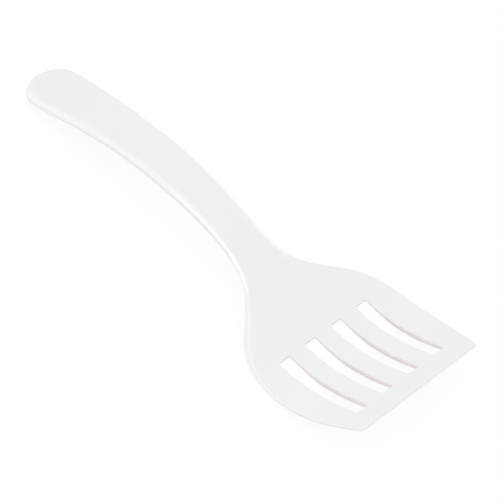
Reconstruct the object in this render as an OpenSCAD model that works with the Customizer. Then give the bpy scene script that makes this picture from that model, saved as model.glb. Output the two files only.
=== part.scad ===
// Slotted serving spatula moulded in one piece: a broad arched handle, a narrow neck and a
// wide blade with four long slots. The underside is hollow behind the slots, inside a low rim.
// It lies on the belly of the blade and the end of the handle. X runs along it with the
// front edge at the high end, Z points up, and the origin is under the middle of its length.

/* [Overall] */
// Length from the front edge to the end of the handle, measured flat
overall_length = 259; // [240:0.1:290]

/* [Blade] */
// Width at the widest place
blade_width = 85.7; // [84:0.1:96]
// Width along the front edge
front_width = 72.5; // [72:0.1:82]
// Distance from the front edge back to the widest place
widest_at = 44; // [38:0.5:48]
// Distance from the front edge back to the lowest place
belly_at = 60.5; // [54:0.5:66]
// Height of the front edge over the lowest place, both on top
front_rise = 22.1; // [12:0.1:30]
// Thickness of the middle of the front half
blade_thickness = 3.4; // [2.2:0.05:3.6]
// Thickness of the blade at its front and side edges
edge_thickness = 1.4; // [1.2:0.05:2.1]
// Width of the slope under the front and side edges
slope_width = 6; // [4:0.1:7]
// Radius of the two front corners, seen from above
corner_radius = 2; // [1.5:0.1:3.5]
// Rounding of the top edge around the blade
blade_rounding = 0.7; // [0.4:0.05:0.8]

/* [Slots] */
// Width of each of the four slots
slot_width = 6.8; // [4:0.1:7.5]
// Distance from the middle of one slot to the middle of the next
slot_pitch = 16.25; // [14:0.05:16.8]
// Distance from the front edge back to the slots
slot_from = 11.8; // [8:0.1:13]
// Length of the slots
slot_length = 49.5; // [36:0.1:51]

/* [Neck] */
// Width at the narrowest place
neck_width = 20.4; // [18:0.1:25]
// Distance from the front edge back to the narrowest place
neck_at = 126; // [112:0.5:132]
// Full depth of the rim under the neck
neck_depth = 3.5; // [3:0.1:6]
// Distance from the front edge back to where the rim has its full depth
rim_to = 136; // [110:0.5:150]

/* [Handle] */
// Width at the rounded end
handle_width = 27.3; // [24:0.1:34]
// Depth of the rim at the end of the handle
handle_depth = 4; // [2.6:0.1:6]
// Distance from the front edge back to the top of the arch
arch_at = 166; // [150:0.5:175]
// Height of the arch over the lowest place of the blade, both on top
arch_rise = 22.8; // [12:0.1:30]
// Rounding of the top edge along the neck and the handle
handle_rounding = 1.6; // [0.8:0.1:2.2]

/* [Hollow underside] */
// Thickness of the top skin over the hollow and behind the slots
skin_thickness = 1; // [0.9:0.05:1.3]
// Thickness of the rim that stands down around the hollow
rim_thickness = 2; // [1.4:0.1:3]

/* [Hidden] */

// Most distance between two sections, and the steps of one rounded edge
section_step = 3;
edge_steps = 5;
corner_steps = 6;
end_steps = 8;

// Where the sections of the moulding meet, all measured back from the front edge
slot_to = slot_from + slot_length;
solid_share = 0.58;
solid_to = slot_from + solid_share * slot_length;
shoulder_share = 0.7;
shoulder_to = slot_to + shoulder_share * (neck_at - slot_to);
neck_share = 0.25;
neck_to = neck_at + neck_share * (overall_length - neck_at);
end_radius = handle_width / 2;
end_centre = overall_length - end_radius;
hollow_to = overall_length - rim_thickness;
bar_width = slot_pitch - slot_width;

// Height of the top along the middle: share of each span, then share of its rise
blade_rise_shares = [[0, 1], [0.2, 0.665], [0.4, 0.363], [0.6, 0.151], [0.8, 0.018], [1, 0]];
neck_rise_shares = [[0.14, 0.053], [0.28, 0.206], [0.42, 0.49], [0.56, 0.737], [0.72, 0.906], [0.86, 0.977], [1, 1]];
handle_drop_shares = [[0.2, 0.071], [0.4, 0.228], [0.6, 0.454], [0.8, 0.743], [1, 1]];

// Half width of the outline: share of each span, then share of its growth
blade_side_shares = [[0, 0], [0.36, 0.59], [1, 1]];
shoulder_side_shares = [[0.22, 0.953], [0.32, 0.877], [0.42, 0.714], [0.54, 0.419], [0.66, 0.158], [0.8, 0.036], [1, 0]];
handle_side_shares = [[0.14, 0.049], [0.34, 0.273], [0.55, 0.398], [0.75, 0.712], [0.88, 0.926], [1, 1], [1.12, 0.83]];

function square_of(v) = v * v;

// A smooth step from 0 to 1
function ease(t) = let (s = min(1, max(0, t))) s * s * (3 - 2 * s);

// Even steps from one place to the next, both ends included
function span(from, to) =
    let (n = max(1, ceil((to - from) / section_step)))
    [for (i = [0:n]) i == n ? to : from + (to - from) * i / n];

// Slope of a smooth curve at each of its knots, from the knots beside it
function rise_between(k, i) = (k[i + 1][1] - k[i][1]) / (k[i + 1][0] - k[i][0]);
function middle_slope(k, i) =
    let (before = k[i][0] - k[i - 1][0], after = k[i + 1][0] - k[i][0])
    (rise_between(k, i) * before + rise_between(k, i - 1) * after) / (before + after);
function knot_slope(k, i) =
    i == 0 ? (3 * rise_between(k, 0) - middle_slope(k, 1)) / 2 :
    i == len(k) - 1 ? (3 * rise_between(k, i - 1) - middle_slope(k, i - 1)) / 2 :
    middle_slope(k, i);

// Value and slope at a place on the smooth curve through the knots
function piece_at(k, place) = max([for (i = [0:len(k) - 2]) if (i == 0 || k[i][0] <= place) i]);
function curve(k, place) =
    let (i = piece_at(k, place), h = k[i + 1][0] - k[i][0], t = (place - k[i][0]) / h)
    let (t2 = t * t, t3 = t2 * t)
    (2 * t3 - 3 * t2 + 1) * k[i][1] + (3 * t2 - 2 * t3) * k[i + 1][1]
    + (t3 - 2 * t2 + t) * h * knot_slope(k, i) + (t3 - t2) * h * knot_slope(k, i + 1);
function curve_slope(k, place) =
    let (i = piece_at(k, place), h = k[i + 1][0] - k[i][0], t = (place - k[i][0]) / h)
    6 * (t * t - t) * (k[i][1] - k[i + 1][1]) / h
    + (3 * t * t - 4 * t + 1) * knot_slope(k, i) + (3 * t * t - 2 * t) * knot_slope(k, i + 1);

// Depth of the outer wall: thin around the blade, a deeper rim under the neck and the handle
function depth(back) =
    back <= solid_to ? edge_thickness :
    back < slot_to ? edge_thickness
        + (skin_thickness - edge_thickness) * ease((back - solid_to) / (slot_to - solid_to)) :
    back <= rim_to ? skin_thickness
        + (neck_depth - skin_thickness) * ease((back - slot_to) / (rim_to - slot_to)) :
    neck_depth + (handle_depth - neck_depth) * ease((back - rim_to) / (overall_length - rim_to));

// Thickness of the blade away from its edges, and of the skin over the hollow
function plate(back) =
    back < slope_width ? edge_thickness + (blade_thickness - edge_thickness) * back / slope_width :
    back <= solid_to ? blade_thickness :
    back < slot_to ? blade_thickness
        + (skin_thickness - blade_thickness) * (back - solid_to) / (slot_to - solid_to) :
    skin_thickness;

// Width of the slope under the blade's edge, which becomes the rim around the hollow
function border(back) =
    slope_width + (rim_thickness - slope_width) * ease((back - solid_to) / (slot_to - solid_to));
function rounding(back) =
    blade_rounding + (handle_rounding - blade_rounding) * ease((back - slot_to) / (rim_to - slot_to));

// The end of the handle reaches down to the level of the belly
front_profile_knots = concat(
    [for (p = blade_rise_shares) [p[0] * belly_at, p[1] * front_rise]],
    [for (p = neck_rise_shares) [belly_at + p[0] * (arch_at - belly_at), p[1] * arch_rise]]
);
belly_places = concat(span(solid_to, slot_to), span(slot_to, shoulder_to));
belly_level = min([for (back = belly_places)
    curve(front_profile_knots, back) - max(depth(back), plate(back))]);
handle_drop = arch_rise - belly_level - handle_depth;
profile_knots = concat(
    front_profile_knots,
    [for (p = handle_drop_shares)
        [arch_at + p[0] * (overall_length - arch_at), arch_rise - p[1] * handle_drop]]
);
function top(back) = curve(profile_knots, back) - belly_level;
function along(back) = overall_length / 2 - back;

outline_knots = concat(
    [for (p = blade_side_shares)
        [p[0] * widest_at, (front_width + p[1] * (blade_width - front_width)) / 2]],
    [for (p = shoulder_side_shares)
        [widest_at + p[0] * (neck_at - widest_at), (neck_width + p[1] * (blade_width - neck_width)) / 2]],
    [for (p = handle_side_shares)
        [neck_at + p[0] * (end_centre - neck_at), (neck_width + p[1] * (handle_width - neck_width)) / 2]]
);

// Sections of each stretch
front_places = concat(
    [for (i = [0:corner_steps - 1]) corner_radius * (1 - cos(90 * i / corner_steps))],
    [for (back = span(corner_radius, slope_width)) if (back < slope_width) back],
    span(slope_width, slot_from)
);
thick_places = span(slot_from, solid_to);
thin_places = span(solid_to, slot_to);
bar_places = concat(thick_places, [for (i = [1:len(thin_places) - 1]) thin_places[i]]);
shoulder_places = span(slot_to, shoulder_to);
neck_places = span(shoulder_to, neck_to);
handle_places = span(neck_to, end_centre);
hollow_end_places = [for (i = [0:end_steps])
    i == end_steps ? hollow_to : end_centre + (end_radius - rim_thickness) * sin(90 * i / end_steps)];
closing_angle = asin((end_radius - rim_thickness) / end_radius);
solid_end_places = [for (i = [0:end_steps / 2])
    i == 0 ? hollow_to :
    i == end_steps / 2 ? overall_length :
    end_centre + end_radius * sin(closing_angle + (90 - closing_angle) * 2 * i / end_steps)];

// Half width of the outline moved inwards, with the front corners and the end rounded
corner_slope = curve_slope(outline_knots, 0);
corner_lean = sqrt(1 + square_of(corner_slope));
corner_middle = front_width / 2 + corner_slope * corner_radius - corner_radius * corner_lean;
function reach(back) = min(back, overall_length - back);
function corner_half(back, inset) =
    corner_middle + sqrt(max(0, square_of(corner_radius - inset) - square_of(corner_radius - back)));
function end_half(back, inset) =
    inset >= reach(back) ? 0 : sqrt(max(0, square_of(end_radius - inset) - square_of(back - end_centre)));
function side_half(back, inset) =
    curve(outline_knots, back) - inset * sqrt(1 + square_of(curve_slope(outline_knots, back)));
function half_width(back, wanted) =
    let (inset = min(wanted, reach(back)))
    back > end_centre ? end_half(back, inset) :
    back < corner_radius - (corner_radius - inset) * corner_slope / corner_lean ? corner_half(back, inset) :
    side_half(back, inset);

// The rounded top edge at one section: half width and height from the wall up to the top
function edge_points(back) =
    let (r = rounding(back))
    [for (i = [0:edge_steps])
        let (inset = min(r * (1 - cos(90 * i / edge_steps)), reach(back)))
        [half_width(back, inset), top(back) - r + sqrt(square_of(r) - square_of(r - inset))]];

// A full section: up the right wall, over the top, down the left wall, back along the underside.
// The step of the underside runs from its foot to its top, and has no height where it is solid.
function full_ring(back, foot, step_top) =
    let (
        x = along(back),
        edge = edge_points(back),
        low = top(back) - depth(back),
        inner = back >= hollow_to ? 0 : half_width(back, border(back))
    )
    concat(
        [[x, -edge[0][0], low]],
        [for (i = [0:edge_steps]) [x, -edge[i][0], edge[i][1]]],
        [for (i = [edge_steps:-1:0]) [x, edge[i][0], edge[i][1]]],
        [[x, edge[0][0], low]],
        [[x, inner, foot], [x, inner, step_top], [x, -inner, step_top], [x, -inner, foot]]
    );
function blade_ring(back) = full_ring(back, top(back) - plate(back), top(back) - plate(back));
function hollow_ring(back) = full_ring(back, top(back) - depth(back), top(back) - plate(back));
function solid_ring(back) = full_ring(back, top(back) - depth(back), top(back) - depth(back));

// The section of an outer bar, from the side of the slot to the outer wall
function bar_ring(back, side, inner_side) =
    let (
        x = along(back),
        edge = edge_points(back),
        low = top(back) - depth(back),
        under = top(back) - plate(back)
    )
    [for (p = concat(
        [[inner_side, top(back)]],
        [for (i = [edge_steps:-1:0]) edge[i]],
        [[edge[0][0], low], [half_width(back, border(back)), under], [inner_side, under]]
    )) [x, side * p[0], p[1]]];

// Two triangles for every side of every ring, then the triangles that close both ends
function ring_faces(rings, n) = [
    for (i = [0:rings - 2], k = [0:n - 1], half = [0, 1])
        let (a = i * n + k, b = i * n + (k + 1) % n)
        half == 0 ? [a, b, b + n] : [a, b + n, a + n]
];
function full_ends(first) =
    let (
        m = edge_steps + 2,
        right_under = first + 2 * m + 2,
        left_under = first + 2 * m + 1
    )
    concat(
        [[right_under, right_under + 1, first]],
        [for (i = [0:m - 1]) [right_under, first + i, first + i + 1]],
        [[right_under, first + m, left_under]],
        [for (i = [m:2 * m - 1]) [left_under, first + i, first + i + 1]]
    );
function bar_ends(first) =
    let (m = edge_steps + 2, middle = first + m + 1)
    concat(
        [[middle, middle + 1, first]],
        [for (i = [0:m - 1]) [middle, first + i, first + i + 1]]
    );
function turned(faces) = [for (f = faces) [f[2], f[1], f[0]]];
function open_faces(points, faces) = [
    for (f = faces)
        if (points[f[0]] != points[f[1]] && points[f[1]] != points[f[2]] && points[f[2]] != points[f[0]]) f
];

module full_sweep(rings) {
    n = len(rings[0]);
    faces = concat(turned(full_ends(0)), ring_faces(len(rings), n), full_ends(n * (len(rings) - 1)));
    points = [for (r = rings, p = r) p];
    polyhedron(points = points, faces = open_faces(points, turned(faces)));
}

module outer_bar(side) {
    rings = [for (back = bar_places) bar_ring(back, side, slot_pitch + slot_pitch / 2 + slot_width / 2)];
    n = len(rings[0]);
    faces = concat(turned(bar_ends(0)), ring_faces(len(rings), n), bar_ends(n * (len(rings) - 1)));
    points = [for (r = rings, p = r) p];
    polyhedron(points = points, faces = open_faces(points, side > 0 ? turned(faces) : faces));
}

// The side view of a bar between two slots
module inner_bar(middle) {
    last = len(bar_places) - 1;
    translate([0, middle, 0])
        rotate([90, 0, 0])
            linear_extrude(height = bar_width, center = true)
                polygon(concat(
                    [for (back = bar_places) [along(back), top(back)]],
                    [for (i = [last:-1:0]) [along(bar_places[i]), top(bar_places[i]) - plate(bar_places[i])]]
                ));
}

module front_edge() {
    color("white") full_sweep([for (back = front_places) blade_ring(back)]);
}

module left_outer_bar() {
    color("white") outer_bar(1);
}

module left_inner_bar() {
    color("white") inner_bar(slot_pitch);
}

module middle_bar() {
    color("white") inner_bar(0);
}

module right_inner_bar() {
    color("white") inner_bar(-slot_pitch);
}

module right_outer_bar() {
    color("white") outer_bar(-1);
}

module blade_shoulder() {
    color("white") full_sweep([for (back = shoulder_places) hollow_ring(back)]);
}

module neck() {
    color("white") full_sweep([for (back = neck_places) hollow_ring(back)]);
}

module handle() {
    color("white") full_sweep([for (back = handle_places) hollow_ring(back)]);
}

module handle_end() {
    color("white") full_sweep(concat(
        [for (back = hollow_end_places) hollow_ring(back)],
        [for (back = solid_end_places) solid_ring(back)]
    ));
}

front_edge();
left_outer_bar();
left_inner_bar();
middle_bar();
right_inner_bar();
right_outer_bar();
blade_shoulder();
neck();
handle();
handle_end();
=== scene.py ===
import math

import bpy
import numpy as np
from mathutils import Matrix, Vector
from mathutils.geometry import delaunay_2d_cdt


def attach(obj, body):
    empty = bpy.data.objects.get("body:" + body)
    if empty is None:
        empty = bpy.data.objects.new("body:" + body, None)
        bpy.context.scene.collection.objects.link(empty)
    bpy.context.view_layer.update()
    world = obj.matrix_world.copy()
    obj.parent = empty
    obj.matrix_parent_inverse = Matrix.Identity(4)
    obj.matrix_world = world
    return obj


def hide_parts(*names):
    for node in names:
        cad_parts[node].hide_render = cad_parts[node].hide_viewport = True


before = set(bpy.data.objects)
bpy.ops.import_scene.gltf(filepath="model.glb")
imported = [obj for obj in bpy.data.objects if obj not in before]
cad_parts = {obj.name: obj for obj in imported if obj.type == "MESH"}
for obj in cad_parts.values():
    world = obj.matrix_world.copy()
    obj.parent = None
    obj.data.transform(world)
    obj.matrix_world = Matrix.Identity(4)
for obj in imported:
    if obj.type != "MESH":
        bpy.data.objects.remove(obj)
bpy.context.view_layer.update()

print("frame loaded, sections:", len(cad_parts))

mm = 0.001

# The form of the moulding. Lengths are in millimetres, and places are measured back from the front edge
formSizes = {
    "overallLength": 259, "bladeWidth": 85.7, "frontWidth": 72.5, "widestAt": 44,
    "bellyAt": 60.5, "frontRise": 22.1, "bladeThickness": 3.4, "edgeThickness": 1.4,
    "slopeWidth": 6, "cornerRadius": 2,
    "neckWidth": 20.4, "neckAt": 126, "neckDepth": 3.5, "rimTo": 136,
    "handleWidth": 27.3, "handleDepth": 4, "archAt": 166, "archRise": 22.8,
    "skinThickness": 1, "rimThickness": 2, "solidShare": 0.58,
    # share of each span, then share of its rise or growth
    "bladeRise": [(0, 1), (0.2, 0.665), (0.4, 0.363), (0.6, 0.151), (0.8, 0.018), (1, 0)],
    "neckRise": [(0.14, 0.053), (0.28, 0.206), (0.42, 0.49), (0.56, 0.737),
                 (0.72, 0.906), (0.86, 0.977), (1, 1)],
    "handleDrop": [(0.2, 0.071), (0.4, 0.228), (0.6, 0.454), (0.8, 0.743), (1, 1)],
    "bladeSide": [(0, 0), (0.36, 0.59), (1, 1)],
    "shoulderSide": [(0.22, 0.953), (0.32, 0.877), (0.42, 0.714), (0.54, 0.419),
                     (0.66, 0.158), (0.8, 0.036), (1, 0)],
    "handleSide": [(0.14, 0.049), (0.34, 0.273), (0.55, 0.398), (0.75, 0.712),
                   (0.88, 0.926), (1, 1), (1.12, 0.83)],
}

# The row of slots
slotSizes = {"count": 4, "width": 6.8, "pitch": 16.25, "start": 11.8, "length": 49.5, "cornerRadius": 0.9}

# Roundings, and how finely the plan is divided
edgeFinish = {
    "bladeCrownWide": 1.7, "bladeCrownHigh": 0.35, "handleCrownWide": 2.8, "handleCrownHigh": 1.2,
    "edgeWide": 0.8, "edgeHigh": 0.4, "slotRound": 0.4, "footRound": 0.25, "rimFillet": 0.6,
    "handleEdgeWide": 1.2, "handleEdgeHigh": 1.1, "handleFrom": 140,
    "shoulderFrom": 58, "shoulderFull": 78, "shoulderEase": 102, "shoulderTo": 124,
    "shoulderWide": 2.6, "shoulderHigh": 1.0, "shoulderCrownWide": 3.4, "shoulderCrownHigh": 0.4,
    "filletInRim": 0.2,  # share of the fillet that lies within the rim's thickness
    "footOverlap": 0.2,  # the top's fall stops this much less than two foot roundings above the wall's foot
    "edgeSteps": 5, "crownSteps": 6, "slotSteps": 5, "rimSteps": 8, "cornerSteps": 8, "endSteps": 30,
    "outlineStep": 1.25, "rimBlend": 8, "ringGap": 0.02, "profileSteps": 48, "bellySteps": 400,
    "gridStep": 1.2, "gridMargin": 0.6,  # the margin between rings and grid, as a share of a step
}


# A node output that Python's operators work on
class Wire:
    def __init__(self, tree, socket):
        self.tree = tree
        self.socket = socket

    def out(self, name):
        return Wire(self.tree, self.socket.node.outputs[name])

    def maths(self, operation, *values):
        return self.tree.add("ShaderNodeMath", {"operation": operation}, dict(enumerate(values)))

    def __add__(self, other):
        return self.maths("ADD", self, other)

    def __radd__(self, other):
        return self.maths("ADD", other, self)

    def __sub__(self, other):
        return self.maths("SUBTRACT", self, other)

    def __rsub__(self, other):
        return self.maths("SUBTRACT", other, self)

    def __mul__(self, other):
        return self.maths("MULTIPLY", self, other)

    def __rmul__(self, other):
        return self.maths("MULTIPLY", other, self)

    def __truediv__(self, other):
        return self.maths("DIVIDE", self, other)

    def __rtruediv__(self, other):
        return self.maths("DIVIDE", other, self)

    def least(self, other):
        return self.maths("MINIMUM", self, other)

    def most(self, other):
        return self.maths("MAXIMUM", self, other)

    def root(self):
        return self.maths("SQRT", self)

    def above(self, other):
        return self.maths("GREATER_THAN", self, other)


# One method makes every node of a tree
class Nodes:
    def __init__(self, tree):
        self.tree = tree
        tree.nodes.clear()

    def add(self, kind, settings=None, inputs=None, output=0):
        node = self.tree.nodes.new(kind)
        for name, value in (settings or {}).items():
            if name == "points":
                setPoints(node.mapping, value)
            else:
                setattr(node, name, value)
        for name, value in (inputs or {}).items():
            socket = node.inputs[name]
            for source in (value if isinstance(value, list) else [value]):
                if isinstance(source, Wire):
                    self.tree.links.new(source.socket, socket)
                else:
                    socket.default_value = source
        return Wire(self, node.outputs[output]) if node.outputs else None

    def ease(self, value, start, end):
        return self.add("ShaderNodeMapRange", {"interpolation_type": "SMOOTHSTEP"},
                        {"Value": value, "From Min": start, "From Max": end})

    def ramp(self, value, start, end):
        return self.add("ShaderNodeMapRange", {}, {"Value": value, "From Min": start, "From Max": end})


# Puts a curve node's line through the given points
def setPoints(mapping, points):
    line = mapping.curves[0]
    while len(line.points) < len(points):
        line.points.new(0.5, 0.5)
    for point, (place, value) in zip(line.points, points):
        point.location = (place, value)
        point.handle_type = "AUTO"
    mapping.update()


# A Geometry Nodes tree with its named inputs, a material among them
def newGroup(name, floats, counts=()):
    group = bpy.data.node_groups.new(name, "GeometryNodeTree")
    face = group.interface
    face.new_socket("Geometry", in_out="INPUT", socket_type="NodeSocketGeometry")
    for label in counts:
        face.new_socket(label, in_out="INPUT", socket_type="NodeSocketInt")
    for label in floats:
        face.new_socket(label, in_out="INPUT", socket_type="NodeSocketFloat")
    face.new_socket("Material", in_out="INPUT", socket_type="NodeSocketMaterial")
    face.new_socket("Geometry", in_out="OUTPUT", socket_type="NodeSocketGeometry")
    return group


# Runs a tree on a mesh with its named inputs, and returns the plain mesh that comes out
def runGroup(group, mesh, values):
    holder = bpy.data.objects.new(group.name, mesh)
    bpy.context.scene.collection.objects.link(holder)
    modifier = holder.modifiers.new(group.name, "NODES")
    modifier.node_group = group
    for socket in group.interface.items_tree:
        if socket.in_out == "INPUT" and socket.name in values:
            modifier[socket.identifier] = values[socket.name]
    result = bpy.data.meshes.new_from_object(holder.evaluated_get(bpy.context.evaluated_depsgraph_get()))
    holder.modifiers.remove(modifier)
    bpy.data.objects.remove(holder)
    return result


# Value and slope of the smooth curve through the knots
def smoothCurve(knots, places):
    xs, ys = np.array(knots, dtype=float).T
    step = np.diff(xs)
    rise = np.diff(ys) / step
    middle = (rise[1:] * step[:-1] + rise[:-1] * step[1:]) / (step[:-1] + step[1:])
    slopes = np.concatenate([[(3 * rise[0] - middle[0]) / 2], middle, [(3 * rise[-1] - middle[-1]) / 2]])
    i = np.clip(np.searchsorted(xs, places, side="right") - 1, 0, len(step) - 1)
    h = step[i]
    t = (places - xs[i]) / h
    value = ((2 * t ** 3 - 3 * t ** 2 + 1) * ys[i] + (3 * t ** 2 - 2 * t ** 3) * ys[i + 1]
             + (t ** 3 - 2 * t ** 2 + t) * h * slopes[i] + (t ** 3 - t ** 2) * h * slopes[i + 1])
    slope = (6 * (t * t - t) * (ys[i] - ys[i + 1]) / h
             + (3 * t * t - 4 * t + 1) * slopes[i] + (3 * t * t - 2 * t) * slopes[i + 1])
    return value, slope


# The smooth step of the trees' own ease, for numbers
def easeBetween(places, start, end):
    t = np.clip((places - start) / (end - start), 0, 1)
    return t * t * (3 - 2 * t)


s = formSizes
slotEnd = slotSizes["start"] + slotSizes["length"]
slotMiddle = s["overallLength"] / 2 - slotSizes["start"] - slotSizes["length"] / 2
solidEnd = slotSizes["start"] + s["solidShare"] * slotSizes["length"]
endRadius = s["handleWidth"] / 2
endCentre = s["overallLength"] - endRadius


# Depth of the wall under the top's edge
def wallDepth(back):
    return (s["edgeThickness"]
            + (s["skinThickness"] - s["edgeThickness"]) * easeBetween(back, solidEnd, slotEnd)
            + (s["neckDepth"] - s["skinThickness"]) * easeBetween(back, slotEnd, s["rimTo"])
            + (s["handleDepth"] - s["neckDepth"]) * easeBetween(back, s["rimTo"], s["overallLength"]))


# Thickness between the edges: the blade's plate, then the skin over the hollow
def plateThickness(back):
    thinning = np.clip((back - solidEnd) / (slotEnd - solidEnd), 0, 1)
    return s["bladeThickness"] + (s["skinThickness"] - s["bladeThickness"]) * thinning


# Knots of the side view of the top, and of half the width, from the front edge back
frontKnots = [(share * s["bellyAt"], rise * s["frontRise"]) for share, rise in s["bladeRise"]]
frontKnots += [(s["bellyAt"] + share * (s["archAt"] - s["bellyAt"]), rise * s["archRise"])
               for share, rise in s["neckRise"]]
nearBelly = np.linspace(solidEnd, s["neckAt"], edgeFinish["bellySteps"])
bellyLevel = np.min(smoothCurve(frontKnots, nearBelly)[0]
                    - np.maximum(wallDepth(nearBelly), plateThickness(nearBelly)))
handleFall = s["archRise"] - bellyLevel - s["handleDepth"]
profileKnots = frontKnots + [
    (s["archAt"] + share * (s["overallLength"] - s["archAt"]), s["archRise"] - drop * handleFall)
    for share, drop in s["handleDrop"]]
sideKnots = [(share * s["widestAt"], (s["frontWidth"] + grow * (s["bladeWidth"] - s["frontWidth"])) / 2)
             for share, grow in s["bladeSide"]]
sideKnots += [(s["widestAt"] + share * (s["neckAt"] - s["widestAt"]),
               (s["neckWidth"] + grow * (s["bladeWidth"] - s["neckWidth"])) / 2)
              for share, grow in s["shoulderSide"]]
sideKnots += [(s["neckAt"] + share * (endCentre - s["neckAt"]),
               (s["neckWidth"] + grow * (s["handleWidth"] - s["neckWidth"])) / 2)
              for share, grow in s["handleSide"]]


# The outline as points and outward normals, from the middle of the front edge, left side first
def outlineLoop():
    radius = s["cornerRadius"]
    startSlope = smoothCurve(sideKnots, np.array([0.0]))[1][0]
    lean = math.hypot(1, startSlope)
    cornerMiddle = s["frontWidth"] / 2 + startSlope * radius - radius * lean
    rows = []
    for y in np.linspace(0, cornerMiddle, math.ceil(cornerMiddle / edgeFinish["outlineStep"]) + 1):
        rows.append((0, y, -1, 0))
    turn = math.pi / 2 - math.atan(startSlope)
    for k in range(1, edgeFinish["cornerSteps"] + 1):
        angle = turn * k / edgeFinish["cornerSteps"]
        rows.append((radius - radius * math.cos(angle), cornerMiddle + radius * math.sin(angle),
                     -math.cos(angle), math.sin(angle)))
    tangentAt = radius - radius * startSlope / lean
    sideCount = math.ceil((endCentre - tangentAt) / edgeFinish["outlineStep"])
    for back in np.linspace(tangentAt, endCentre, sideCount + 1)[1:-1]:
        half, slope = (float(v[0]) for v in smoothCurve(sideKnots, np.array([back])))
        lean = math.hypot(1, slope)
        rows.append((back, half, -slope / lean, 1 / lean))
    for k in range(edgeFinish["endSteps"] + 1):
        angle = math.pi / 2 * k / edgeFinish["endSteps"]
        rows.append((endCentre + endRadius * math.sin(angle), endRadius * math.cos(angle),
                     math.sin(angle), math.cos(angle)))
    left = np.array(rows)
    right = left[-2:0:-1] * (1, -1, 1, -1)
    loop = np.concatenate([left, right])
    points = np.column_stack([s["overallLength"] / 2 - loop[:, 0], loop[:, 1]])
    normals = np.column_stack([-loop[:, 2], loop[:, 3]])
    return points, normals, loop[:, 0]


# One slot's rounded rectangle moved outwards by a distance
def slotRing(grow):
    radius = slotSizes["cornerRadius"] + grow
    halfLong = slotSizes["length"] / 2 + grow
    halfWide = slotSizes["width"] / 2 + grow
    rows = []
    corners = ((1, 1), (-1, 1), (-1, -1), (1, -1))
    for index, (sx, sy) in enumerate(corners):
        start = index * math.pi / 2
        for k in range(edgeFinish["cornerSteps"] + 1):
            angle = start + math.pi / 2 * k / edgeFinish["cornerSteps"]
            rows.append((sx * (halfLong - radius) + radius * math.cos(angle),
                         sy * (halfWide - radius) + radius * math.sin(angle)))
        nextX, nextY = corners[(index + 1) % 4]
        reach = abs(nextX - sx) * (halfLong - radius) + abs(nextY - sy) * (halfWide - radius)
        cuts = max(1, round(reach / edgeFinish["outlineStep"]))
        for k in range(1, cuts):
            last = np.array(rows[-k])
            share = k / cuts
            rows.append((last[0] + (nextX - sx) * (halfLong - radius) * share,
                         last[1] + (nextY - sy) * (halfWide - radius) * share))
    return np.array(rows)


# Repeats one slot's rings across the blade
def buildSlotRow():
    group = newGroup("slotRow", ("Slot Pitch", "Middle"), ("Slot Count",))
    t = Nodes(group)
    given = t.add("NodeGroupInput", output="Geometry")
    pitch = given.out("Slot Pitch")
    count = given.out("Slot Count")
    first = t.add("ShaderNodeCombineXYZ", {}, {"X": given.out("Middle"), "Y": (count - 1) * pitch * -0.5})
    offset = t.add("ShaderNodeCombineXYZ", {}, {"Y": pitch})
    line = t.add("GeometryNodeMeshLine", {"mode": "OFFSET"},
                 {"Count": count, "Start Location": first, "Offset": offset})
    copies = t.add("GeometryNodeInstanceOnPoints", {}, {"Points": line, "Instance": given})
    solid = t.add("GeometryNodeRealizeInstances", {}, {"Geometry": copies})
    painted = t.add("GeometryNodeSetMaterial", {}, {"Geometry": solid, "Material": given.out("Material")})
    t.add("NodeGroupOutput", {}, {"Geometry": painted})
    return group


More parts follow.
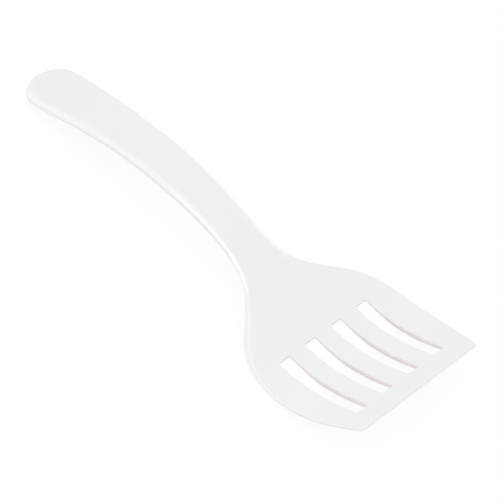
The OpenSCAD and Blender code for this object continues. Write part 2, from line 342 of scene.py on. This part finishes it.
# Lifts the flat plan into the moulding: top, wall and hollow underside
def buildMouldedForm():
    sizes = ("Overall Length", "Top Height", "Edge Thickness", "Blade Thickness", "Skin Thickness",
             "Neck Depth", "Handle Depth", "Slope Width", "Rim Thickness", "Rim Fillet", "Solid End",
             "Slot End", "Rim To", "Blade Crown Wide", "Blade Crown High", "Handle Crown Wide",
             "Handle Crown High", "Edge Wide", "Edge High", "Handle Edge Wide", "Handle Edge High",
             "Handle From", "Slot Round", "Foot Round", "Shoulder From", "Shoulder Full", "Shoulder Ease",
             "Shoulder To", "Shoulder Wide", "Shoulder High", "Shoulder Crown Wide", "Shoulder Crown High")
    group = newGroup("mouldedForm", sizes)
    t = Nodes(group)
    given = t.add("NodeGroupInput", output="Geometry")
    # a thin slab, whose top and underside are told apart by their height and then moved to their places
    slabHeight = mm
    sameSpot = 0.001 * mm
    lift = t.add("GeometryNodeExtrudeMesh", {"mode": "FACES"},
                 {"Mesh": given, "Offset": (0, 0, 1), "Offset Scale": slabHeight, "Individual": False})
    under = t.add("GeometryNodeFlipFaces", {}, {"Mesh": given})
    both = t.add("GeometryNodeJoinGeometry", {}, {"Geometry": [lift, under]})
    slab = t.add("GeometryNodeMergeByDistance", {}, {"Geometry": both, "Distance": sameSpot})
    place = t.add("ShaderNodeSeparateXYZ", {}, {"Vector": t.add("GeometryNodeInputPosition")}, "X")
    isTop = place.out("Z").above(0.5 * slabHeight)
    outer, slot = (
        t.add("GeometryNodeInputNamedAttribute", {"data_type": "FLOAT"}, {"Name": name}, "Attribute")
        for name in ("outlineDistance", "slotDistance"))
    back = given.out("Overall Length") * 0.5 - place
    skin = given.out("Skin Thickness")
    edge = given.out("Edge Thickness")
    neck = given.out("Neck Depth")
    thinning = t.ease(back, given.out("Solid End"), given.out("Slot End"))
    rimGrowth = t.ease(back, given.out("Slot End"), given.out("Rim To"))
    handleGrowth = t.ease(back, given.out("Rim To"), given.out("Overall Length"))
    # the side view of the top, as shares of the length and of the greatest height
    samples = np.linspace(0, s["overallLength"], edgeFinish["profileSteps"] + 1)
    heights = smoothCurve(profileKnots, samples)[0] - bellyLevel
    points = [(a / s["overallLength"], b / heights.max()) for a, b in zip(samples, heights)]
    crest = t.add("ShaderNodeFloatCurve", {"points": points}, {"Value": back / given.out("Overall Length")})
    crest = crest * given.out("Top Height")

    def rounded(distance, wide, high):
        inside = (wide - distance.least(wide)) / wide
        return high * (1 - (1 - inside * inside).most(0).root())

    # the top falls in a shallow crown towards its edge, then turns over it in a rounding
    wide = given.out("Blade Crown Wide") * (1 - rimGrowth) + given.out("Handle Crown Wide") * rimGrowth
    high = given.out("Blade Crown High") * (1 - rimGrowth) + given.out("Handle Crown High") * rimGrowth
    # the shoulders, where the blade runs into the neck, are rounded more broadly
    shoulder = t.ease(back, given.out("Shoulder From"), given.out("Shoulder Full"))
    shoulder = shoulder * (1 - t.ease(back, given.out("Shoulder Ease"), given.out("Shoulder To")))
    wide = wide + given.out("Shoulder Crown Wide") * shoulder
    high = high + given.out("Shoulder Crown High") * shoulder
    crown = (wide - outer.least(wide)) / wide
    edgeWide = given.out("Edge Wide")
    edgeHigh = given.out("Edge High")
    handle = t.ease(back, given.out("Handle From"), given.out("Overall Length"))
    roundWide = edgeWide + (given.out("Shoulder Wide") - edgeWide) * shoulder
    roundWide = roundWide + (given.out("Handle Edge Wide") - edgeWide) * handle
    roundHigh = edgeHigh + (given.out("Shoulder High") - edgeHigh) * shoulder
    roundHigh = roundHigh + (given.out("Handle Edge High") - edgeHigh) * handle
    slotRound = given.out("Slot Round")
    foot = given.out("Foot Round")
    wall = edge + (skin - edge) * thinning + (neck - skin) * rimGrowth
    wall = wall + (given.out("Handle Depth") - neck) * handleGrowth
    fall = high * crown * crown + rounded(outer, roundWide, roundHigh)
    fall = fall.least(wall - 2 * foot + edgeFinish["footOverlap"] * mm)
    top = crest - fall.most(rounded(slot, slotRound, slotRound))
    blade = given.out("Blade Thickness")
    plate = blade + (skin - blade) * t.ramp(back, given.out("Solid End"), given.out("Slot End"))
    border = given.out("Slope Width") * (1 - thinning) + given.out("Rim Thickness") * thinning
    slope = t.ramp(outer, 0, border)
    fillet = given.out("Rim Fillet")
    inRim = edgeFinish["filletInRim"]
    step = t.ease(outer, border - inRim * fillet, border + (1 - inRim) * fillet)
    hollow = back.above(given.out("Slot End"))
    inward = slope * (1 - hollow) + step * hollow
    low = crest - wall + (wall - plate) * inward + rounded(outer.least(slot), foot, foot)
    height = top * isTop + low * (1 - isTop)
    position = t.add("ShaderNodeCombineXYZ", {}, {"X": place, "Y": place.out("Y"), "Z": height})
    shaped = t.add("GeometryNodeSetPosition", {}, {"Geometry": slab, "Position": position})
    solid = t.add("GeometryNodeRealizeInstances", {}, {"Geometry": shaped})
    painted = t.add("GeometryNodeSetMaterial", {}, {"Geometry": solid, "Material": given.out("Material")})
    t.add("NodeGroupOutput", {}, {"Geometry": painted})
    return group, heights.max()


# Each point's distance to the nearest edge of a loop, worked out for some points at a time to save memory
def distanceTo(points, loop):
    pointsAtATime = 1000
    along = np.roll(loop, -1, axis=0) - loop
    lengthSquared = (along ** 2).sum(axis=1)
    best = []
    for chunk in np.array_split(points, max(1, len(points) // pointsAtATime)):
        gap = chunk[:, None, :] - loop[None, :, :]
        share = np.clip((gap * along).sum(axis=2) / lengthSquared, 0, 1)
        best.append(np.sqrt(((gap - share[:, :, None] * along) ** 2).sum(axis=2).min(axis=1)))
    return np.concatenate(best)


# Which points lie inside a loop, by counting the edges that a level line crosses
def isInside(points, loop):
    after = np.roll(loop, -1, axis=0)
    inside = np.zeros(len(points), dtype=bool)
    for (x1, y1), (x2, y2) in zip(loop, after):
        if y1 != y2:
            crosses = (y1 > points[:, 1]) != (y2 > points[:, 1])
            inside ^= crosses & (points[:, 0] < x1 + (points[:, 1] - y1) * (x2 - x1) / (y2 - y1))
    return inside


# How far a place belongs to the shoulders, whose edges are rounded more broadly
def shoulderShare(backs):
    f = edgeFinish
    rising = easeBetween(backs, f["shoulderFrom"], f["shoulderFull"])
    return rising * (1 - easeBetween(backs, f["shoulderEase"], f["shoulderTo"]))


# How far in from the outline the top's crown reaches
def crownReach(backs):
    f = edgeFinish
    growth = easeBetween(backs, slotEnd, s["rimTo"])
    return (f["bladeCrownWide"] * (1 - growth) + f["handleCrownWide"] * growth
            + f["shoulderCrownWide"] * shoulderShare(backs))


# How far in each ring lies at every point of the outline: close together over the edge's rounding and
# the rim's fillet, wider apart over the crown
def ringInsets(backs):
    f = edgeFinish
    crownWide = crownReach(backs)
    edgeRound = f["edgeWide"] + (f["shoulderWide"] - f["edgeWide"]) * shoulderShare(backs)
    handleShare = easeBetween(backs, f["handleFrom"], s["overallLength"])
    edgeRound += (f["handleEdgeWide"] - f["edgeWide"]) * handleShare

    def overCrown(steps):
        return [edgeRound + (crownWide - edgeRound) * k / steps for k in range(1, steps + 1)]

    overEdge = [edgeRound * (1 - math.cos(math.pi / 2 * k / f["edgeSteps"]))
                for k in range(f["edgeSteps"] + 1)]
    filletShares = [k / f["rimSteps"] - f["filletInRim"] for k in range(f["rimSteps"] + 1)]
    overRim = [np.full(len(backs), s["rimThickness"] + f["rimFillet"] * share) for share in filletShares]
    # the solid blade has no rim, so there the rim's rings are spread over the crown
    solid = np.array(overEdge + overCrown(f["crownSteps"] + len(overRim)))
    hollow = np.sort(np.array(overEdge + overCrown(f["crownSteps"]) + overRim), axis=0)
    insets = solid + (hollow - solid) * easeBetween(backs, slotEnd - f["rimBlend"], slotEnd)
    # a gap keeps the rings from touching
    for k in range(1, len(insets)):
        insets[k] = np.maximum(insets[k], insets[k - 1] + f["ringGap"])
    return insets


# The edges that close a ring of points, numbered from the first of them
def ringEdges(first, count):
    return [(first + i, first + (i + 1) % count) for i in range(count)]


# An even grid between the rings, with its distances to the slots
def gridPoints(outerLoop, slotLoops):
    step = edgeFinish["gridStep"]
    halfLong = math.ceil(s["overallLength"] / 2)
    halfWide = round(step * math.ceil(s["bladeWidth"] / 2 / step), 6)
    alongX = np.arange(-halfLong, halfLong, step)
    acrossY = np.arange(-halfWide, halfWide + step / 2, step)
    gridX, gridY = np.meshgrid(alongX, acrossY)
    grid = np.column_stack([gridX.ravel(), gridY.ravel()])
    grid = grid[isInside(grid, outerLoop)]
    gridOuter = distanceTo(grid, outerLoop)
    gridSlot = np.min([distanceTo(grid, loop) for loop in slotLoops], axis=0)
    for loop in slotLoops:
        gridSlot = np.where(isInside(grid, loop), -1, gridSlot)
    gridBack = s["overallLength"] / 2 - grid[:, 0]
    # the grid starts a little inside the last ring
    crownTo = crownReach(gridBack)
    rimTo = np.maximum(crownTo, s["rimThickness"] + edgeFinish["rimFillet"])
    ringed = np.where(gridBack > slotEnd - edgeFinish["rimBlend"], rimTo, crownTo)
    margin = edgeFinish["gridMargin"] * step
    keep = (gridOuter > ringed + margin) & (gridSlot > edgeFinish["slotRound"] + margin)
    return grid[keep], gridSlot[keep]


# The flat plan: rings along every edge, an even grid between them
def buildPlan(slotRow):
    points, normals, backs = outlineLoop()
    rings = [points - normals * inset[:, None] for inset in ringInsets(backs)]
    coords, edges = [], []
    for ring in rings:
        edges += ringEdges(len(coords), len(ring))
        coords += [tuple(p) for p in ring]
    outerLoop = rings[0]
    farAway = 1000.0  # in millimetres, stands for no slot nearby
    slotAway = np.full(len(coords), farAway)
    # the slots' rings, as the row of slots gives them
    slotPoints = np.array([v.co[:2] for v in slotRow.vertices]) / mm
    slotInset = np.array([a.value for a in slotRow.attributes["ringInset"].data])
    first = len(coords)
    coords += [tuple(p) for p in slotPoints]
    edges += [(first + e.vertices[0], first + e.vertices[1]) for e in slotRow.edges]
    slotLoops = []
    for index in range(slotSizes["count"]):
        across = (index - (slotSizes["count"] - 1) / 2) * slotSizes["pitch"]
        slotLoops.append(slotRing(0) + (slotMiddle, across))
    grid, gridSlot = gridPoints(outerLoop, slotLoops)
    coords += [tuple(p) for p in grid]
    slotAway = np.concatenate([slotAway, slotInset, gridSlot])
    tolerance = 1e-5
    verts, _, faces, ids, _, _ = delaunay_2d_cdt([Vector(c) for c in coords], edges, [], 0, tolerance)
    flat = np.array([tuple(v) for v in verts])
    source = np.array([i[0] if i else -1 for i in ids])
    # with other sizes rings may cross, and a point added there has no distance to the slots of its own yet
    crossed = source < 0
    slotAway = slotAway[source]
    slotAway[crossed] = np.min([distanceTo(flat[crossed], loop) for loop in slotLoops], axis=0)
    outer = distanceTo(flat, outerLoop)
    corners = np.array(faces)
    centres = flat[corners].mean(axis=1)
    wanted = isInside(centres, outerLoop)
    for loop in slotLoops:
        wanted &= ~isInside(centres, loop)
    corners = corners[wanted]
    a, b, c = flat[corners[:, 0]], flat[corners[:, 1]], flat[corners[:, 2]]
    turned = ((b - a)[:, 0] * (c - a)[:, 1] - (b - a)[:, 1] * (c - a)[:, 0]) < 0
    corners[turned] = corners[turned][:, ::-1]
    used = np.unique(corners)
    print("plan built, points where rings cross:", int(crossed.sum()),
          "points:", len(used), "faces:", len(corners))
    renumber = np.zeros(len(flat), dtype=int)
    renumber[used] = np.arange(len(used))
    mesh = bpy.data.meshes.new("plan")
    mesh.from_pydata([(x * mm, y * mm, 0) for x, y in flat[used]], [], renumber[corners].tolist())
    for name, values in (("outlineDistance", outer), ("slotDistance", slotAway)):
        layer = mesh.attributes.new(name, "FLOAT", "POINT")
        layer.data.foreach_set("value", (values[used] * mm).astype(np.float32))
    return mesh


# The rings round one slot, with how far out each one lies
def buildSlotRings():
    coords, edges, insets = [], [], []
    for k in range(edgeFinish["slotSteps"] + 1):
        inset = edgeFinish["slotRound"] * (1 - math.cos(math.pi / 2 * k / edgeFinish["slotSteps"]))
        ring = slotRing(inset)
        edges += ringEdges(len(coords), len(ring))
        coords += [(x * mm, y * mm, 0) for x, y in ring]
        insets += [inset] * len(ring)
    mesh = bpy.data.meshes.new("slotRings")
    mesh.from_pydata(coords, edges, [])
    layer = mesh.attributes.new("ringInset", "FLOAT", "POINT")
    layer.data.foreach_set("value", np.array(insets, dtype=np.float32))
    return mesh


# Softly glossy white plastic, sizes in millimetres
plasticLook = {
    "colour": (0.865, 0.882, 0.873, 1), "shade": (0.85, 0.866, 0.856, 1),
    # painted light: the slots' walls are lighter and warmer than the rest, standing in for the studio's
    # light inside the slots
    "slotWallPaintedLight": (0.96, 0.91, 0.89, 1),
    # from the first value to the second, a place counts less and less as a slot's wall and gets less of the
    # painted light:
    # by how level it lies, and by how far it is from the slot
    "wallLean": (0.15, 0.6), "wallReach": (0.2, 1.0),
    "roughness": 0.25, "flowRoughness": 0.08, "grainRoughness": 0.05, "rubRoughness": 0.08,
    "flowSize": 26, "flowStretch": 3, "flowDetail": 3,
    "grainSize": 0.35, "grainHeight": 0.004, "grainDetail": 2,
    "waveSize": 9, "waveHeight": 0.012, "waveDetail": 1,
    "rubAlong": 3, "rubAcross": 0.12, "rubDetail": 2, "rubFrom": 0.58, "rubTo": 0.72,
    "refraction": 1.49, "translucency": 0.12,
    "lightDepth": 2, "depthShares": (1.0, 0.8, 0.6),  # shares of the depth for red, green and blue
}


def buildPlastic():
    look = plasticLook
    material = bpy.data.materials.new("mouldedPlastic")
    material.use_nodes = True
    t = Nodes(material.node_tree)
    place = t.add("ShaderNodeTexCoord", output="Object")

    def noise(size, detail, stretch=(1, 1, 1)):
        scale = tuple(1 / (size * mm * v) for v in stretch)
        scaled = t.add("ShaderNodeMapping", {}, {"Vector": place, "Scale": scale})
        return t.add("ShaderNodeTexNoise", {}, {"Vector": scaled, "Scale": 1.0, "Detail": detail})

    flow = noise(look["flowSize"], look["flowDetail"], (look["flowStretch"], 1, 1))
    grain = noise(look["grainSize"], look["grainDetail"])
    wave = noise(look["waveSize"], look["waveDetail"])
    rub = noise(1, look["rubDetail"], (look["rubAlong"], look["rubAcross"], look["rubAcross"]))
    rubbed = t.ease(rub, look["rubFrom"], look["rubTo"])
    # a mix node of colours: 0 the share, 6 and 7 the two colours, output 2 the result
    colour = t.add("ShaderNodeMix", {"data_type": "RGBA"},
                   {0: flow, 6: look["colour"], 7: look["shade"]}, 2)
    # only the slots' walls stand upright this close to a slot
    normal = t.add("ShaderNodeNewGeometry", output="Normal")
    facing = t.add("ShaderNodeSeparateXYZ", {}, {"Vector": normal}, "Z")
    upright = 1 - t.ease(facing.maths("ABSOLUTE", facing), *look["wallLean"])
    slotAway = t.add("ShaderNodeAttribute", {"attribute_name": "slotDistance"}, output="Fac")
    paintedLightShare = upright * (1 - t.ease(slotAway, *(reach * mm for reach in look["wallReach"])))
    # painted light: the slots' walls take the lighter, warmer colour that stands in for the light inside
    # the slots
    colour = t.add("ShaderNodeMix", {"data_type": "RGBA"},
                   {0: paintedLightShare, 6: colour, 7: look["slotWallPaintedLight"]}, 2)
    roughness = look["roughness"] + (flow - 0.5) * look["flowRoughness"]
    roughness = roughness + (grain - 0.5) * look["grainRoughness"] + rubbed * look["rubRoughness"]
    relief = grain * look["grainHeight"] * mm + wave * look["waveHeight"] * mm
    bump = t.add("ShaderNodeBump", {}, {"Height": relief, "Distance": 1.0, "Strength": 1.0})
    plastic = t.add("ShaderNodeBsdfPrincipled", {}, {
        "Base Color": colour, "Roughness": roughness, "Normal": bump, "IOR": look["refraction"],
        "Subsurface Weight": look["translucency"], "Subsurface Radius": look["depthShares"],
        "Subsurface Scale": look["lightDepth"] * mm})
    t.add("ShaderNodeOutputMaterial", {}, {"Surface": plastic})
    return material


plastic = buildPlastic()
print("plastic built")

slotRow = runGroup(buildSlotRow(), buildSlotRings(), {
    "Slot Count": slotSizes["count"], "Slot Pitch": slotSizes["pitch"] * mm, "Material": plastic,
    "Middle": slotMiddle * mm,
})
plan = buildPlan(slotRow)
mouldedForm, topHeight = buildMouldedForm()
mouldedMesh = runGroup(mouldedForm, plan, {
    "Overall Length": s["overallLength"] * mm, "Top Height": topHeight * mm,
    "Edge Thickness": s["edgeThickness"] * mm, "Blade Thickness": s["bladeThickness"] * mm,
    "Skin Thickness": s["skinThickness"] * mm, "Neck Depth": s["neckDepth"] * mm,
    "Handle Depth": s["handleDepth"] * mm, "Slope Width": s["slopeWidth"] * mm,
    "Rim Thickness": s["rimThickness"] * mm, "Rim Fillet": edgeFinish["rimFillet"] * mm,
    "Solid End": solidEnd * mm, "Slot End": slotEnd * mm, "Rim To": s["rimTo"] * mm,
    "Blade Crown Wide": edgeFinish["bladeCrownWide"] * mm,
    "Blade Crown High": edgeFinish["bladeCrownHigh"] * mm,
    "Handle Crown Wide": edgeFinish["handleCrownWide"] * mm,
    "Handle Crown High": edgeFinish["handleCrownHigh"] * mm,
    "Edge Wide": edgeFinish["edgeWide"] * mm, "Edge High": edgeFinish["edgeHigh"] * mm,
    "Handle Edge Wide": edgeFinish["handleEdgeWide"] * mm,
    "Handle Edge High": edgeFinish["handleEdgeHigh"] * mm, "Handle From": edgeFinish["handleFrom"] * mm,
    "Slot Round": edgeFinish["slotRound"] * mm, "Foot Round": edgeFinish["footRound"] * mm,
    "Shoulder From": edgeFinish["shoulderFrom"] * mm, "Shoulder Full": edgeFinish["shoulderFull"] * mm,
    "Shoulder Ease": edgeFinish["shoulderEase"] * mm, "Shoulder To": edgeFinish["shoulderTo"] * mm,
    "Shoulder Wide": edgeFinish["shoulderWide"] * mm, "Shoulder High": edgeFinish["shoulderHigh"] * mm,
    "Shoulder Crown Wide": edgeFinish["shoulderCrownWide"] * mm,
    "Shoulder Crown High": edgeFinish["shoulderCrownHigh"] * mm, "Material": plastic,
})
mouldedMesh.name = "spatulaMoulding"
mouldedMesh.shade_smooth()
spatula = bpy.data.objects.new("spatulaMoulding", mouldedMesh)
bpy.context.scene.collection.objects.link(spatula)
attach(spatula, "root")
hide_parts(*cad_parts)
print("moulding built, faces:", len(mouldedMesh.polygons))

# The photograph's view, worked out from the outline: degrees, millimetres and image points
photoView = {
    "azimuth": 41.672, "elevation": 52.965, "roll": 6.17, "distance": 2027.08, "scale": 2.1463,
    "across": -13.578, "up": 2.957, "imageSize": 500, "sensor": 36,
    "clipEnd": 20,  # in metres
}


def buildCamera():
    v = photoView
    a, e, roll = (math.radians(v[name]) for name in ("azimuth", "elevation", "roll"))
    level = Vector((math.cos(a), math.sin(a), 0))
    rise = Vector((-math.sin(a) * math.sin(e), math.cos(a) * math.sin(e), math.cos(e)))
    towards = Vector((math.sin(a) * math.cos(e), -math.cos(a) * math.cos(e), math.sin(e)))
    right = math.cos(roll) * level + math.sin(roll) * rise
    upward = -math.sin(roll) * level + math.cos(roll) * rise
    eye = (-v["across"] * right - v["up"] * upward + v["distance"] * towards) * mm
    data = bpy.data.cameras.new("photoCamera")
    data.sensor_width = v["sensor"]
    data.lens = v["sensor"] * v["distance"] * v["scale"] / v["imageSize"]
    data.clip_end = v["clipEnd"]
    camera = bpy.data.objects.new("photoCamera", data)
    turn = Matrix((right, upward, towards)).transposed().to_4x4()
    camera.matrix_world = Matrix.Translation(eye) @ turn
    bpy.context.scene.collection.objects.link(camera)
    bpy.context.scene.camera = camera


buildCamera()
print("camera set")

# Floor, room and lamps, lengths in metres
studio = {
    "floorSize": 6, "floorColour": (0.5, 0.5, 0.5, 1), "roomLight": 0.94,
    # what the camera sees of the floor: its own glow, and a part that still takes shadow
    "floorSeen": 0.9, "floorSeenColour": (0.11, 0.11, 0.11, 1),
    "lamps": [
        # name, place, size, watts, whether it lights the surfaces, whether it shines in their gloss
        ("sideSoftbox", (0.5, -1.2, 1.5), 0.8, 2.4, True, False),
        ("backSoftbox", (0, 1.96, 0.42), 0.8, 3.2, True, True),
        ("lowSoftbox", (-0.3, -1.9, 0.3), 0.8, 1.4, True, True),
        ("handleFill", (-0.14, -0.22, 0.012), 0.05, 0.1, True, False),
        ("sideGloss", (0.15, -1.5, 1.95), 1.8, 29, False, True),
        ("topGloss", (-0.55, 0.05, 1.9), 0.8, 3.2, False, True),
    ],
}


# 1 for what the camera sees, straight on or by way of gloss or glass, and 0 for light on other surfaces
def seenShare(t):
    path = t.add("ShaderNodeLightPath", output="Is Camera Ray")
    return path.most(path.out("Is Glossy Ray")).most(path.out("Is Transmission Ray"))


def buildStage():
    size = studio["floorSize"]
    mesh = bpy.data.meshes.new("floor")
    corners = [(-size, -size, 0), (size, -size, 0), (size, size, 0), (-size, size, 0)]
    mesh.from_pydata(corners, [], [(0, 1, 2, 3)])
    floor = bpy.data.objects.new("floor", mesh)
    bpy.context.scene.collection.objects.link(floor)
    material = bpy.data.materials.new("paleFloor")
    material.use_nodes = True
    t = Nodes(material.node_tree)
    plain = t.add("ShaderNodeBsdfDiffuse", {}, {"Color": studio["floorColour"]})
    shown = t.add("ShaderNodeAddShader", {}, {
        0: t.add("ShaderNodeBsdfDiffuse", {}, {"Color": studio["floorSeenColour"]}),
        1: t.add("ShaderNodeEmission", {}, {"Color": (1, 1, 1, 1), "Strength": studio["floorSeen"]})})
    surface = t.add("ShaderNodeMixShader", {}, {0: seenShare(t), 1: plain, 2: shown})
    t.add("ShaderNodeOutputMaterial", {}, {"Surface": surface})
    mesh.materials.append(material)
    world = bpy.data.worlds.new("paleRoom")
    bpy.context.scene.world = world
    world.use_nodes = True
    t = Nodes(world.node_tree)
    seen = seenShare(t)
    strength = seen + (1 - seen) * studio["roomLight"]
    background = t.add("ShaderNodeBackground", {}, {"Color": (1, 1, 1, 1), "Strength": strength})
    t.add("ShaderNodeOutputWorld", {}, {"Surface": background})
    for name, place, size, watts, lights, shines in studio["lamps"]:
        data = bpy.data.lights.new(name, "AREA")
        data.shape = "DISK"
        data.size = size
        data.energy = watts
        lamp = bpy.data.objects.new(name, data)
        lamp.location = place
        lamp.visible_camera = False
        lamp.visible_diffuse = lights
        lamp.visible_glossy = shines
        lamp.rotation_euler = (-Vector(place)).to_track_quat("-Z", "Y").to_euler()
        bpy.context.scene.collection.objects.link(lamp)


buildStage()
bpy.context.scene.view_settings.view_transform = "Standard"
print("studio set")
